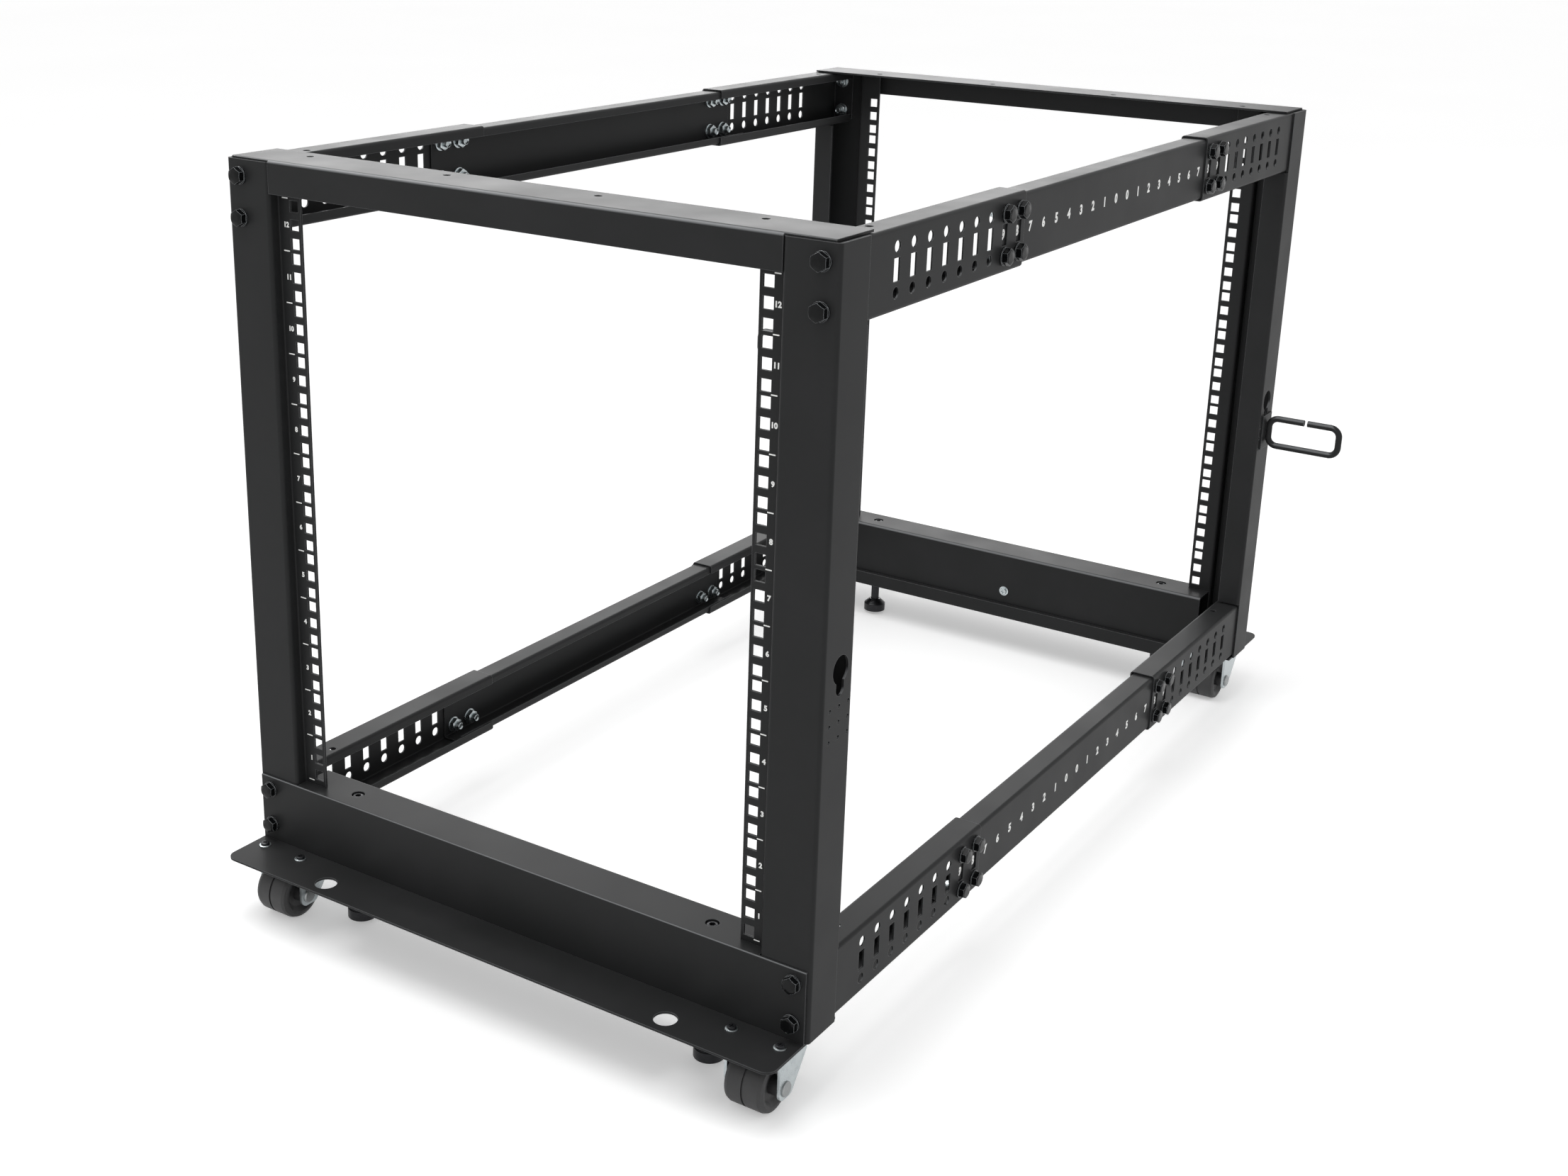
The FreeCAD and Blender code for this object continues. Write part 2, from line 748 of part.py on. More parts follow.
def make_caster_wheel(name, side, end):
    """The moulded wheel: rounded tread with a parting groove, dished sides and a hub."""
    body = new_body(name, wheel_centre(side, end))
    profile = sketch_on(body, "XY_Plane")
    bore = s.axle_radius + s.running_gap
    rim = s.wheel_radius - s.wheel_rim
    dish = s.wheel_half - s.wheel_dish
    corner = s.wheel_round * (1 - sqrt(0.5))
    right_half = [
        (s.groove_half, s.wheel_radius - s.groove_depth),
        (s.groove_half, s.wheel_radius),
        (s.wheel_half - s.wheel_round, s.wheel_radius),
        (s.wheel_half - corner, s.wheel_radius - corner),
        (s.wheel_half, s.wheel_radius - s.wheel_round),
        (s.wheel_half, rim),
        (dish, rim - s.wheel_dish),
        (dish, s.hub_radius),
        (s.hub_half, s.hub_radius),
        (s.hub_half, bore),
    ]
    left_half = [(-along, out) for along, out in reversed(right_half)]
    polygon(profile, right_half + left_half)
    revolve(body, profile, "H_Axis")


def make_cable_ring(name, side):
    """A bent wire ring with a gap in its top arm, welded to a small plate on the post's outer side."""
    out_to_wire = s.ring_plate_sheet + s.ring_wire - s.ring_weld
    body = new_body(name, (side * s.width_half, mount_half - post_middle, ring_middle))
    near = out_to_wire
    far = s.ring_reach - s.ring_wire
    high = s.ring_height / 2 - s.ring_wire
    gap_near = s.ring_gap_at - s.ring_gap / 2
    gap_far = s.ring_gap_at + s.ring_gap / 2
    bend = s.ring_corner

    path = sketch_on(body, "XZ_Plane")
    knees = [(near, high), (near, -high), (far, -high), (far, high)]
    stations = [(gap_near, high)] + knees + [(gap_far, high)]
    stations = [(side * across, up) for across, up in stations]
    if side < 0:
        stations.reverse()
    rounded_path(path, stations, bend)
    section = sketch_on(body, "YZ_Plane", stations[0][0])
    circle(section, (0 * bend, high), s.ring_wire)
    wire = body.newObject("PartDesign::AdditivePipe", f"{name}_wire")
    wire.Profile = section
    wire.Spine = path
    plate = sketch_on(body, "YZ_Plane")
    rectangle(
        plate,
        (-s.ring_plate_depth / 2, -s.ring_plate_height / 2),
        (s.ring_plate_depth / 2, s.ring_plate_height / 2),
    )
    pad(body, plate, s.ring_plate_sheet, reverse=side < 0)


def rounded_path(sketch, stations, bend):
    """An open path of straight runs along the axes, each corner an arc tangent to both runs."""
    last = len(stations) - 1
    runs = []
    for index in range(last):
        here, there = stations[index], stations[index + 1]
        sign = unit_step(here, there)
        start = here if index == 0 else shifted(here, sign, bend)
        stop = there if index + 1 == last else shifted(there, sign, -bend)
        line = sketch.addGeometry(Part.LineSegment(vector(start), vector(stop)))
        hold_point(sketch, line, 1, start)
        hold_point(sketch, line, 2, stop)
        runs.append((line, start, stop, sign))
    for (before, _, stop, sign), (after, start, _, turn) in zip(runs, runs[1:]):
        centre = shifted(stop, turn, bend)
        outward = vector(stop) - vector(centre) + vector(start) - vector(centre)
        middle = vector(centre) + outward * sqrt(0.5)
        arc = sketch.addGeometry(Part.Arc(vector(stop), middle, vector(start)))
        flipped = (sketch.Geometry[arc].StartPoint - vector(stop)).Length > 1e-4
        first_end, last_end = (2, 1) if flipped else (1, 2)
        sketch.addConstraint(Sketcher.Constraint("Coincident", before, 2, arc, first_end))
        sketch.addConstraint(Sketcher.Constraint("Coincident", after, 1, arc, last_end))
        constrain(sketch, "Radius", (arc,), bend)


def unit_step(here, there):
    across = value_of(there[0]) - value_of(here[0])
    up = value_of(there[1]) - value_of(here[1])
    return (sign_of(across), sign_of(up))


def sign_of(number):
    return 0 if abs(number) < 1e-6 else (1 if number > 0 else -1)


def shifted(point, sign, size):
    return (point[0] + sign[0] * size, point[1] + sign[1] * size)


sides = {"left": -1, "right": 1}
ends = {"front": -1, "rear": 1}
levels = {"upper": rail_mid_upper, "lower": rail_mid_lower}

for end_name, end in ends.items():
    for side_name, side in sides.items():
        make_post(f"{end_name}_{side_name}_post", side, end)
    make_crossbar(f"top_{end_name}_crossbar", end)
    make_base_channel(f"base_{end_name}_channel", end)
    make_base_plate(f"base_{end_name}_plate", end)

for level_name, middle_z in levels.items():
    for side_name, side in sides.items():
        for end_name, end in ends.items():
            make_bracket(f"{level_name}_{side_name}_{end_name}_bracket", side, end, middle_z)
        make_middle_rail(f"{level_name}_{side_name}_middle_rail", side, middle_z)

for end_name, end in ends.items():
    for side_name, side in sides.items():
        corner = f"{end_name}_{side_name}"
        make_caster_plate(f"{corner}_caster_plate", side, end)
        make_caster_fork(f"{corner}_caster_fork", side, end)
        make_caster_axle(f"{corner}_caster_axle", side, end)
        make_caster_wheel(f"{corner}_caster_wheel", side, end)
        make_levelling_foot(f"{corner}_levelling_foot", side, end)

for side_name, side in sides.items():
    make_cable_ring(f"{side_name}_cable_ring", side)

doc.recompute()

failed = [item.Name for item in doc.Objects if "Invalid" in item.State or "Error" in item.State]
if failed:
    raise RuntimeError(f"these did not compute: {failed}")
for body in sub_parts:
    if body.Shape.isNull() or not body.Shape.isValid() or len(body.Shape.Solids) != 1:
        raise RuntimeError(f"{body.Label} is not one valid solid")

os.makedirs("parts", exist_ok=True)
for body in sub_parts:
    body.Shape.exportStep(f"parts/{body.Label}.step")
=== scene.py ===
import math

import bpy
from mathutils import Euler, Matrix, Vector


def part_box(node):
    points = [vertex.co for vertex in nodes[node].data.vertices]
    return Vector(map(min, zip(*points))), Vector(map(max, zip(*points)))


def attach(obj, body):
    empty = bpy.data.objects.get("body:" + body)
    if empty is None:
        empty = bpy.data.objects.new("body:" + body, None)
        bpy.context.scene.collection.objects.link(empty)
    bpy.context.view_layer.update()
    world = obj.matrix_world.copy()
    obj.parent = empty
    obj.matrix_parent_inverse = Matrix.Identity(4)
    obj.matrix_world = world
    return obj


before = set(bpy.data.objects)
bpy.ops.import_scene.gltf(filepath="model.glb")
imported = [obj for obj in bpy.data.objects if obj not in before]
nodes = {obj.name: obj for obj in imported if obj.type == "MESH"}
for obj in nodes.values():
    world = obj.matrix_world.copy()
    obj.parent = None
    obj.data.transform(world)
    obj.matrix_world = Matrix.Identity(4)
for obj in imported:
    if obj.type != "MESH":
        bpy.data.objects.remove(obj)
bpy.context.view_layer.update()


# Base: a foot plate and a folded bar at each end, cut from 2 mm sheet steel, folded and welded.
# Satin black powder coat, baked on: nearly black face on, with a faint orange peel left by the melted
# powder. Cut edges are painted paler, a painted highlight with some edge wear, and the folds that run
# across the rack carry a painted highlight where they face up.
mm = 0.001
ends = {"front": -1, "rear": 1}


def linear(hex_colour):
    """An sRGB hex colour as linear red, green, blue and alpha."""
    channels = [int(hex_colour[start:start + 2], 16) / 255 for start in (1, 3, 5)]
    return [c / 12.92 if c <= 0.04045 else ((c + 0.055) / 1.055) ** 2.4 for c in channels] + [1.0]


def add_node(material, kind, settings, links):
    """One shader node with its settings, fed from the named outputs of other nodes."""
    node = material.node_tree.nodes.new(kind)
    for name, value in settings.items():
        if name in node.inputs:
            node.inputs[name].default_value = value
        else:
            setattr(node, name, value)
    for name, (source, output) in links.items():
        material.node_tree.links.new(source.outputs[output], node.inputs[name])
    return node


def new_finish(name):
    """A named finish with an empty node tree and the piece's own coordinates."""
    material = bpy.data.materials.new(name)
    material.use_nodes = True
    material.node_tree.nodes.clear()
    return material, add_node(material, "ShaderNodeTexCoord", {}, {})


powder_coat, place = new_finish("satin_black_powder_coat")
orange_peel_size = 1.8 * mm
orange_peel_depth = 0.05 * mm
handling_size = 60 * mm
edge_round = 0.9 * mm
orange_peel = add_node(
    powder_coat, "ShaderNodeTexNoise",
    {"Scale": 1 / orange_peel_size, "Detail": 2.0, "Roughness": 0.55},
    {"Vector": (place, "Object")},
)
handling = add_node(
    powder_coat, "ShaderNodeTexNoise",
    {"Scale": 1 / handling_size, "Detail": 4.0},
    {"Vector": (place, "Object")},
)
rounded = add_node(powder_coat, "ShaderNodeBevel", {"samples": 4, "Radius": edge_round}, {})
surface = add_node(powder_coat, "ShaderNodeNewGeometry", {}, {})
flatness = add_node(
    powder_coat, "ShaderNodeVectorMath",
    {"operation": "DOT_PRODUCT"},
    {0: (rounded, "Normal"), 1: (surface, "Normal")},
)
# Cut edges and hole rims are painted paler: a painted highlight for the light their rounded edges catch,
# with some edge wear.
edge_wear_and_highlight = add_node(
    powder_coat, "ShaderNodeMapRange",
    {"From Min": 0.985, "From Max": 0.75, "To Min": 0.0, "To Max": 0.6},
    {"Value": (flatness, "Value")},
)
# Folds that run across the rack and face partly up are painted paler: a painted highlight for the light
# they catch from above.
facing = add_node(powder_coat, "ShaderNodeSeparateXYZ", {}, {"Vector": (surface, "Normal")})
tilted = add_node(
    powder_coat, "ShaderNodeMapRange",
    {"From Min": 0.15, "From Max": 0.5, "To Min": 0.0, "To Max": 0.55},
    {"Value": (facing, "Z")},
)
not_level = add_node(
    powder_coat, "ShaderNodeMapRange",
    {"From Min": 0.98, "From Max": 0.85},
    {"Value": (facing, "Z")},
)
sideways = add_node(powder_coat, "ShaderNodeMath", {"operation": "ABSOLUTE"}, {0: (facing, "X")})
lengthways = add_node(
    powder_coat, "ShaderNodeMapRange",
    {"From Min": 0.25, "From Max": 0.1},
    {"Value": (sideways, "Value")},
)
on_fold = add_node(
    powder_coat, "ShaderNodeMath",
    {"operation": "MULTIPLY"},
    {0: (tilted, "Result"), 1: (not_level, "Result")},
)
painted_fold_highlight = add_node(
    powder_coat, "ShaderNodeMath",
    {"operation": "MULTIPLY"},
    {0: (on_fold, "Value"), 1: (lengthways, "Result")},
)
painted_highlight_and_edge_wear = add_node(
    powder_coat, "ShaderNodeMath",
    {"operation": "MAXIMUM"},
    {0: (edge_wear_and_highlight, "Result"), 1: (painted_fold_highlight, "Value")},
)
sound_tone = add_node(
    powder_coat, "ShaderNodeMixRGB",
    {"Color1": linear("#232424"), "Color2": linear("#2c2c2d")},
    {"Fac": (handling, "Fac")},
)
# The pale grey mixed in here is painted highlight on edges and folds, with some edge wear.
coat_tone = add_node(
    powder_coat, "ShaderNodeMixRGB",
    {"Color2": linear("#8a8c8e")},
    {"Fac": (painted_highlight_and_edge_wear, "Value"), "Color1": (sound_tone, "Color")},
)
coat_roughness = add_node(
    powder_coat, "ShaderNodeMapRange",
    {"From Min": 0.3, "From Max": 0.7, "To Min": 0.40, "To Max": 0.47},
    {"Value": (handling, "Fac")},
)
coat_bump = add_node(
    powder_coat, "ShaderNodeBump",
    {"Strength": 0.25, "Distance": orange_peel_depth},
    {"Height": (orange_peel, "Fac"), "Normal": (rounded, "Normal")},
)
coat_surface = add_node(
    powder_coat, "ShaderNodeBsdfPrincipled",
    {"IOR": 1.2},
    {
        "Base Color": (coat_tone, "Color"),
        "Roughness": (coat_roughness, "Result"),
        "Normal": (coat_bump, "Normal"),
    },
)
add_node(powder_coat, "ShaderNodeOutputMaterial", {}, {"Surface": (coat_surface, "BSDF")})


def coat(names, finish):
    """Give carried-over pieces their finish."""
    for name in names:
        nodes[name].data.materials.clear()
        nodes[name].data.materials.append(finish)


coat([f"base_{end}_{piece}" for end in ends for piece in ("plate", "channel")], powder_coat)


# Casters: pressed steel forks and top plates, bright zinc plated, screwed under the foot plates.
# Zinc plate is a pale bluish metal, smooth but not polished, with cloudy patches of clear passivate.
sides = {"left": -1, "right": 1}
corners = [f"{end}_{side}" for end in ends for side in sides]
zinc, place = new_finish("bright_zinc_plate")
passivate_size = 7 * mm
passivate = add_node(
    zinc, "ShaderNodeTexNoise",
    {"Scale": 1 / passivate_size, "Detail": 3.0},
    {"Vector": (place, "Object")},
)
zinc_tone = add_node(
    zinc, "ShaderNodeMixRGB",
    {"Color1": linear("#a4acaf"), "Color2": linear("#c9cfd0")},
    {"Fac": (passivate, "Fac")},
)
zinc_roughness = add_node(
    zinc, "ShaderNodeMapRange",
    {"From Min": 0.3, "From Max": 0.7, "To Min": 0.24, "To Max": 0.40},
    {"Value": (passivate, "Fac")},
)
zinc_surface = add_node(
    zinc, "ShaderNodeBsdfPrincipled",
    {"Metallic": 1.0},
    {"Base Color": (zinc_tone, "Color"), "Roughness": (zinc_roughness, "Result")},
)
add_node(zinc, "ShaderNodeOutputMaterial", {}, {"Surface": (zinc_surface, "BSDF")})
coat([f"{corner}_caster_{piece}" for corner in corners for piece in ("plate", "fork")], zinc)


# Axles: turned from bright drawn steel and headed over at both ends with an orbiting tool.
# Bare steel is darker than zinc plate, and the tool leaves a fine dull mottle on the heads.
rivet_steel, place = new_finish("headed_bare_steel")
mottle_size = 0.8 * mm
mottle = add_node(
    rivet_steel, "ShaderNodeTexNoise",
    {"Scale": 1 / mottle_size, "Detail": 2.0},
    {"Vector": (place, "Object")},
)
rivet_tone = add_node(
    rivet_steel, "ShaderNodeMixRGB",
    {"Color1": linear("#7d8081"), "Color2": linear("#a6a8a8")},
    {"Fac": (mottle, "Fac")},
)
rivet_roughness = add_node(
    rivet_steel, "ShaderNodeMapRange",
    {"From Min": 0.3, "From Max": 0.7, "To Min": 0.28, "To Max": 0.42},
    {"Value": (mottle, "Fac")},
)
rivet_surface = add_node(
    rivet_steel, "ShaderNodeBsdfPrincipled",
    {"Metallic": 1.0},
    {"Base Color": (rivet_tone, "Color"), "Roughness": (rivet_roughness, "Result")},
)
add_node(rivet_steel, "ShaderNodeOutputMaterial", {}, {"Surface": (rivet_surface, "BSDF")})
coat([f"{corner}_caster_axle" for corner in corners], rivet_steel)


# Wheels: moulded in black nylon in two halves, so a parting line runs round the middle of the tread.
# The tread scuffs to a dull dark grey where it rolls.
nylon, place = new_finish("moulded_black_nylon")
scuff_size = 9 * mm
scuff_depth = 0.1 * mm
scuff = add_node(
    nylon, "ShaderNodeTexNoise",
    {"Scale": 1 / scuff_size, "Detail": 6.0, "Roughness": 0.65},
    {"Vector": (place, "Object")},
)
nylon_tone = add_node(
    nylon, "ShaderNodeMixRGB",
    {"Color1": linear("#1b1b1c"), "Color2": linear("#2e2e2f")},
    {"Fac": (scuff, "Fac")},
)
nylon_roughness = add_node(
    nylon, "ShaderNodeMapRange",
    {"From Min": 0.3, "From Max": 0.7, "To Min": 0.42, "To Max": 0.62},
    {"Value": (scuff, "Fac")},
)
nylon_bump = add_node(
    nylon, "ShaderNodeBump",
    {"Strength": 0.2, "Distance": scuff_depth},
    {"Height": (scuff, "Fac")},
)
nylon_surface = add_node(
    nylon, "ShaderNodeBsdfPrincipled",
    {"IOR": 1.53},
    {
        "Base Color": (nylon_tone, "Color"),
        "Roughness": (nylon_roughness, "Result"),
        "Normal": (nylon_bump, "Normal"),
    },
)
add_node(nylon, "ShaderNodeOutputMaterial", {}, {"Surface": (nylon_surface, "BSDF")})
coat([f"{corner}_caster_wheel" for corner in corners], nylon)


# Levelling feet: turned steel studs with a swaged pad, blackened by hot oxide and oiled.
# The oxide is thin, so the metal still gives it a dark gloss, and the stud's thread catches the light.
black_oxide, place = new_finish("oiled_black_oxide_steel")
thread_pitch = 1.5 * mm
thread_depth = 0.4 * mm
oil_size = 12 * mm
thread = add_node(
    black_oxide, "ShaderNodeTexWave",
    {"bands_direction": "Z", "Scale": 0.1 * math.pi / thread_pitch, "Distortion": 0.0},
    {"Vector": (place, "Object")},
)
oil = add_node(
    black_oxide, "ShaderNodeTexNoise",
    {"Scale": 1 / oil_size, "Detail": 3.0},
    {"Vector": (place, "Object")},
)
oxide_tone = add_node(
    black_oxide, "ShaderNodeMixRGB",
    {"Color1": linear("#1c1c1e"), "Color2": linear("#303134")},
    {"Fac": (oil, "Fac")},
)
oxide_roughness = add_node(
    black_oxide, "ShaderNodeMapRange",
    {"From Min": 0.3, "From Max": 0.7, "To Min": 0.30, "To Max": 0.44},
    {"Value": (oil, "Fac")},
)
thread_bump = add_node(
    black_oxide, "ShaderNodeBump",
    {"Strength": 0.3, "Distance": thread_depth},
    {"Height": (thread, "Fac")},
)
oxide_surface = add_node(
    black_oxide, "ShaderNodeBsdfPrincipled",
    {"Metallic": 0.6},
    {
        "Base Color": (oxide_tone, "Color"),
        "Roughness": (oxide_roughness, "Result"),
        "Normal": (thread_bump, "Normal"),
    },
)
add_node(black_oxide, "ShaderNodeOutputMaterial", {}, {"Surface": (oxide_surface, "BSDF")})
coat([f"{corner}_levelling_foot" for corner in corners], black_oxide)


# Caster screws: four short black machine screws through each caster's top plate, with a cross recess,
# each over a bright zinc washer that shows as a ring round the head.
def clear_bench():
    """Nothing stays selected when a new piece is begun."""
    bpy.ops.object.select_all(action="DESELECT")


def pick(piece, kind, wanted):
    """Edit the piece with only those faces or edges selected whose middle passes a test."""
    bpy.context.view_layer.objects.active = piece
    bpy.ops.object.mode_set(mode="EDIT")
    bpy.ops.mesh.select_mode(type=kind)
    bpy.ops.mesh.select_all(action="DESELECT")
    bpy.ops.object.mode_set(mode="OBJECT")
    points = piece.data.vertices
    for item in (piece.data.polygons if kind == "FACE" else piece.data.edges):
        middle = sum((points[index].co for index in item.vertices), Vector()) / len(item.vertices)
        item.select = wanted(middle)
    bpy.ops.object.mode_set(mode="EDIT")


def turned_disc(radius, low, high, facets, edge_break):
    """A disc on the bench, in millimetres, standing from low to high, with its upper edge broken."""
    clear_bench()
    middle = (low + high) / 2
    bpy.ops.mesh.primitive_cylinder_add(
        vertices=facets, radius=radius, depth=high - low, location=(0, 0, middle)
    )
    disc = bpy.context.object
    bpy.ops.object.transform_apply()
    rim = 0.9 * radius
    just_below = high - 1e-4
    pick(disc, "EDGE", lambda spot: spot.z > just_below and spot.to_2d().length > rim)
    bpy.ops.mesh.bevel(offset=edge_break, segments=2)
    bpy.ops.object.mode_set(mode="OBJECT")
    return disc


def carve(piece, tool, operation):
    """Shape the piece with a second solid, which is then taken off the bench."""
    cut = piece.modifiers.new("cut", "BOOLEAN")
    cut.operation = operation
    cut.solver = "EXACT"
    cut.object = tool
    clear_bench()
    piece.select_set(True)
    bpy.context.view_layer.objects.active = piece
    bpy.ops.object.modifier_apply(modifier=cut.name)
    bpy.data.objects.remove(tool)


def weld_up(pieces, name):
    """Join pieces into one, with its place in its mesh."""
    clear_bench()
    for piece in pieces:
        piece.select_set(True)
    bpy.context.view_layer.objects.active = pieces[0]
    bpy.ops.object.join()
    bpy.ops.object.transform_apply()
    pieces[0].name = name
    pieces[0].data.name = name
    return pieces[0]


def cross_head(radius, height, seat):
    """A pan head with a cross recess, in millimetres, its underside at the seat."""
    head_facets = 28
    edge_break = 0.35 * height
    slot_width = 0.3 * radius
    slot_length = 1.2 * radius
    head = turned_disc(radius, seat, seat + height, head_facets, edge_break)
    for turn in (0, math.pi / 2):
        clear_bench()
        bpy.ops.mesh.primitive_cube_add(size=1, location=(0, 0, seat + height), rotation=(0, 0, turn))
        slot = bpy.context.object
        slot.scale = (slot_length, slot_width, height)
        bpy.ops.object.transform_apply()
        carve(head, slot, "DIFFERENCE")
    return head


def set_out(model, name, places, finish, body):
    """Copies of a bench model, brought to metres, each facing out from its spot, joined as one piece."""
    smooth_below = math.radians(32)
    copies = []
    for spot, out in places:
        copy = model.copy()
        copy.data = model.data.copy()
        bpy.context.collection.objects.link(copy)
        turn = Vector(out).to_track_quat("Z", "Y").to_matrix().to_4x4()
        copy.matrix_world = Matrix.Translation(spot) @ turn @ Matrix.Scale(mm, 4)
        copies.append(copy)
    piece = weld_up(copies, name)
    piece.data.materials.clear()
    piece.data.materials.append(finish)
    bpy.ops.object.shade_smooth_by_angle(angle=smooth_below)
    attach(piece, body)


up = Vector((0, 0, 1))
screw_half_x = 22.5 * mm
screw_half_y = 20 * mm
screw_places = []
for corner in corners:
    low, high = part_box(f"{corner}_caster_plate")
    middle = (low + high) / 2
    plate_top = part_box(f"base_{corner.split('_')[0]}_channel")[0].z
    for across in (-screw_half_x, screw_half_x):
        for along in (-screw_half_y, screw_half_y):
            screw_places.append((Vector((middle.x + across, middle.y + along, plate_top)), up))
disc_facets = 32
washer_radius = 5.4
washer_height = 0.7
washer_break = 0.2
washer = turned_disc(washer_radius, 0.0, washer_height, disc_facets, washer_break)
set_out(washer, "caster_screw_washers", screw_places, zinc, "frame")
screw_head_radius = 3.9
screw_head_height = 2.2
screw_head = cross_head(screw_head_radius, screw_head_height, washer_height)
set_out(screw_head, "caster_screws", screw_places, black_oxide, "frame")


# Stud ends: the blackened steel of each levelling stud runs on up to the hole in the top of the base bar
# and ends there in a hexagon socket, so that the foot can be turned from above with a key.
socket_across = 5.0
socket_radius = socket_across / math.sqrt(3)
socket_depth = 5.0
stud_radius = 5.0
stud_break = 0.8
below_bar_top = 1.0
for corner in corners:
    foot_low, foot_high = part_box(f"{corner}_levelling_foot")
    bar_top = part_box(f"base_{corner.split('_')[0]}_channel")[1].z
    middle = (foot_low + foot_high) / 2
    end_height = (bar_top - foot_high.z) / mm - below_bar_top
    stud_end = turned_disc(stud_radius, 0.0, end_height, disc_facets, stud_break)
    clear_bench()
    bpy.ops.mesh.primitive_cylinder_add(
        vertices=6, radius=socket_radius, depth=2 * socket_depth, location=(0, 0, end_height)
    )
    socket = bpy.context.object
    bpy.ops.object.transform_apply()
    carve(stud_end, socket, "DIFFERENCE")
    seat = [(Vector((middle.x, middle.y, foot_high.z)), up)]
    set_out(stud_end, f"{corner}_stud_end", seat, black_oxide, f"{corner}_foot")
    bpy.data.objects.remove(stud_end)


# Earthing screw: one bright screw with a wide washer, driven into the inner web of the rear base bar.
# It bites through the coat to bare steel so that the frame can be earthed.
bar_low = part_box("base_rear_channel")[0]
earth_up = 16.5 * mm
earth_place = [(Vector((0, bar_low.y, bar_low.z + earth_up)), Vector((0, -1, 0)))]
earth_washer_radius = 6.0
earth_washer_height = 1.0
earth_washer_break = 0.3
earth_head_radius = 4.2
earth_head_height = 2.6
earth_washer = turned_disc(earth_washer_radius, 0.0, earth_washer_height, disc_facets, earth_washer_break)
earth_head = cross_head(earth_head_radius, earth_head_height, earth_washer_height)
earth_screw = weld_up([earth_washer, earth_head], "earth_screw_model")
set_out(earth_screw, "earthing_screw", earth_place, zinc, "frame")


# Posts: 2 mm sheet folded four times, punched with 36 square holes for cage nuts, then powder coated.
# The flanges carry screen-printed unit numbers, and a short tick where one unit ends and the next
# begins. The ticks sit a little further out on two of the posts, which are one part turned about.
coat([f"{corner}_post" for corner in corners], powder_coat)

white_ink, place = new_finish("screen_printed_white_ink")
ink_grain_size = 0.6 * mm
ink_grain = add_node(
    white_ink, "ShaderNodeTexNoise",
    {"Scale": 1 / ink_grain_size, "Detail": 2.0},
    {"Vector": (place, "Object")},
)
ink_tone = add_node(
    white_ink, "ShaderNodeMixRGB",
    {"Color1": linear("#ebecea"), "Color2": linear("#fdfdfb")},
    {"Fac": (ink_grain, "Fac")},
)
ink_surface = add_node(
    white_ink, "ShaderNodeBsdfPrincipled",
    {"Roughness": 0.55},
    {"Base Color": (ink_tone, "Color")},
)
add_node(white_ink, "ShaderNodeOutputMaterial", {}, {"Surface": (ink_surface, "BSDF")})
ink_height = 0.06 * mm
ink_lift = 0.6 * ink_height
stroke_gain = 0.05


def printed(words, tall, spot, turn):
    """Printed figures of one height, centred on a spot of an upright face that is turned about Z."""
    clear_bench()
    bpy.ops.object.text_add()
    label = bpy.context.object
    label.data.body = words
    label.data.size = 1.0
    label.data.extrude = 0.01
    label.data.resolution_u = 4
    label.data.offset = stroke_gain
    bpy.ops.object.convert(target="MESH")
    corners_of_print = [Vector(corner) for corner in label.bound_box]
    low_corner, high_corner = corners_of_print[0], corners_of_print[6]
    scale = tall / (high_corner.y - low_corner.y)
    thin = ink_height / (high_corner.z - low_corner.z)
    centre = Matrix.Translation(-(low_corner + high_corner) / 2)
    label.data.transform(Matrix.Diagonal((scale, scale, thin, 1)) @ centre)
    label.matrix_world = Matrix.Translation(spot) @ Euler((math.pi / 2, 0, turn)).to_matrix().to_4x4()
    return label


def printed_bar(length, thick, spot, turn):
    """A printed stroke along an upright face, with rounded ends."""
    clear_bench()
    bpy.ops.mesh.primitive_cube_add(size=1)
    bar = bpy.context.object
    bar.data.transform(Matrix.Diagonal((length, thick, ink_height, 1)))
    upright = 1e-9
    corner_cut = 0.3 * thick
    pick(bar, "EDGE", lambda middle: abs(middle.z) < upright)
    bpy.ops.mesh.bevel(offset=corner_cut, segments=2)
    bpy.ops.object.mode_set(mode="OBJECT")
    bar.matrix_world = Matrix.Translation(spot) @ Euler((math.pi / 2, 0, turn)).to_matrix().to_4x4()
    return bar


unit_height = 44.45 * mm
unit_count = 12
clear_of_base = 4 * mm
first_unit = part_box("base_front_channel")[1].z + clear_of_base
flange_step = 11 * mm
number_x = 241.4 * mm
number_tall = 4.8 * mm
tick_thick = 1.0 * mm
ticks_by_hand = {1: (242.5 * mm, 6.7 * mm), -1: (240.1 * mm, 5.6 * mm)}
for end_name, end in ends.items():
    for side_name, side in sides.items():
        low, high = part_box(f"{end_name}_{side_name}_post")
        face_y = (low.y if end < 0 else high.y) - end * flange_step
        print_y = face_y + end * ink_lift
        turn = 0 if end < 0 else math.pi
        marks = []
        for unit in range(unit_count):
            middle_z = first_unit + (unit + 0.5) * unit_height
            spot = Vector((side * number_x, print_y, middle_z))
            marks.append(printed(str(unit + 1), number_tall, spot, turn))
        tick_x, tick_length = ticks_by_hand[side * end]
        for boundary in range(unit_count + 1):
            spot = Vector((side * tick_x, print_y, first_unit + boundary * unit_height))
            marks.append(printed_bar(tick_length, tick_thick, spot, turn))
        print_piece = weld_up(marks, f"{end_name}_{side_name}_unit_marks")
        print_piece.data.materials.clear()
        print_piece.data.materials.append(white_ink)
        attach(print_piece, "frame")


